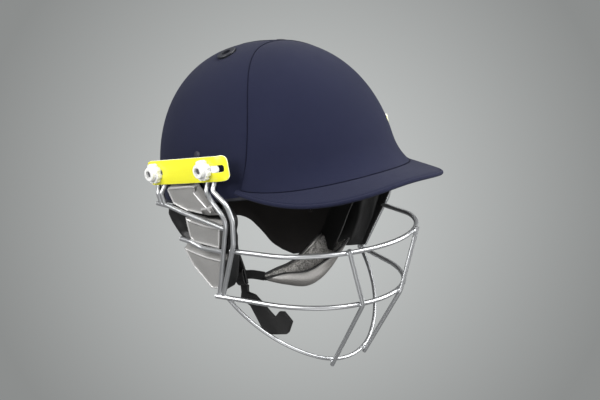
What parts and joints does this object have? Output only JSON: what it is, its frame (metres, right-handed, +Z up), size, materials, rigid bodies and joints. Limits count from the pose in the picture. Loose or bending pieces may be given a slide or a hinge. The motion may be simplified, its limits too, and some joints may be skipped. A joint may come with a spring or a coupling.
{
  "type": "cricket helmet with face guard",
  "caption": "Cloth-covered cricket helmet with an arched peak, a sliding face guard of bent wire, ear pads, a neck apron and a chin strap with a cup.",
  "frame": {"origin": "centre of the head opening, in the plane of the shell's lower rim", "axes": "+X to the front of the face, +Y to the wearer's left, +Z up through the crown"},
  "size_m": [0.3003, 0.24, 0.3127],
  "materials": {
    "shell_plastic": "satin moulded shell",
    "navy_cloth": "smooth woven navy cloth",
    "piping_cloth": "rolled navy cloth edge",
    "edge_rubber": "dull black",
    "eyelet_plastic": "dark, satin",
    "apron_cloth": "dull black",
    "stud_metal": "polished",
    "yellow_plate": "gloss yellow",
    "mount_plastic": "dark",
    "rivet_cap": "navy, satin",
    "zinc_wire": "bright zinc",
    "pad_plastic": "satin silver grey",
    "white_plastic": "white nylon",
    "bolt_metal": "plated",
    "webbing": "black woven webbing",
    "cup_plastic": "satin grey",
    "fleece": "speckled grey fleece",
    "foam": "black foam",
    "pad_cloth": "black padded cloth"
  },
  "bodies": {
    "helmet": {"shell": "shell_plastic", "cover_front": "navy_cloth", "cover_rear_left": "navy_cloth", "cover_rear_right": "navy_cloth", "peak_cover": "navy_cloth", "peak_piping": "piping_cloth", "rim_binding": "edge_rubber", "vent_grommet_left": "eyelet_plastic", "vent_grommet_right": "eyelet_plastic", "neck_apron": "apron_cloth", "apron_stud_left": "stud_metal", "apron_stud_right": "stud_metal", "side_plate_left": "yellow_plate", "side_plate_right": "yellow_plate", "plate_mount_left": "mount_plastic", "plate_mount_right": "mount_plastic", "strap_rivet_left": "rivet_cap", "strap_rivet_right": "rivet_cap", "liner": "foam", "crown_pad": "pad_cloth", "forehead_pad": "pad_cloth", "strap_anchor_left": "mount_plastic", "strap_anchor_right": "mount_plastic", "strap_rear_leg": "webbing"},
    "face_guard": {"top_bar": "zinc_wire", "mid_bar": "zinc_wire", "chin_bar": "zinc_wire", "front_upright_left": "zinc_wire", "front_upright_right": "zinc_wire", "side_rods_left": "zinc_wire", "side_rods_right": "zinc_wire", "rear_hairpin_left": "zinc_wire", "rear_hairpin_right": "zinc_wire", "upper_cross_bar_left": "zinc_wire", "upper_cross_bar_right": "zinc_wire", "lower_cross_bar_left": "zinc_wire", "lower_cross_bar_right": "zinc_wire", "ear_pad_upper_left": "pad_plastic", "ear_pad_upper_right": "pad_plastic", "ear_pad_middle_left": "pad_plastic", "ear_pad_middle_right": "pad_plastic", "ear_pad_lower_left": "pad_plastic", "ear_pad_lower_right": "pad_plastic", "slot_slider_left": "white_plastic", "slot_slider_right": "white_plastic", "front_bolt_left": "bolt_metal", "front_bolt_right": "bolt_metal", "rear_bolt_left": "bolt_metal", "rear_bolt_right": "bolt_metal"},
    "chin_strap": {"strap_leg_left": "webbing", "strap_leg_right": "webbing", "chin_cup": "cup_plastic", "cup_lining": "fleece", "cup_strap": "webbing", "strap_slider": "mount_plastic", "strap_tail": "webbing"},
    "front_nut_left_body": {"front_nut_left": "white_plastic"},
    "front_nut_right_body": {"front_nut_right": "white_plastic"},
    "rear_nut_left_body": {"rear_nut_left": "white_plastic"},
    "rear_nut_right_body": {"rear_nut_right": "white_plastic"}
  },
  "joints": [
    {"name": "guard_slide", "type": "slide", "parent": "helmet", "child": "face_guard", "axis": [1, 0, 0], "range_m": [-0.0022, 0.005]},
    {"name": "strap_swing", "type": "hinge", "parent": "helmet", "child": "chin_strap", "pos_m": [0.014, -0.00175, 0.006], "axis": [-0.2368, -0.9716, 0], "range_deg": [0, 6]},
    {"name": "front_nut_left_turn", "type": "hinge", "parent": "face_guard", "child": "front_nut_left_body", "pos_m": [0.036, 0.115, 0.0295], "axis": [0, 1, 0], "continuous": true},
    {"name": "front_nut_right_turn", "type": "hinge", "parent": "face_guard", "child": "front_nut_right_body", "pos_m": [0.036, -0.115, 0.0295], "axis": [0, -1, 0], "continuous": true},
    {"name": "rear_nut_left_turn", "type": "hinge", "parent": "face_guard", "child": "rear_nut_left_body", "pos_m": [-0.0385, 0.115, 0.0295], "axis": [0, 1, 0], "continuous": true},
    {"name": "rear_nut_right_turn", "type": "hinge", "parent": "face_guard", "child": "rear_nut_right_body", "pos_m": [-0.0385, -0.115, 0.0295], "axis": [0, -1, 0], "continuous": true}
  ]
}
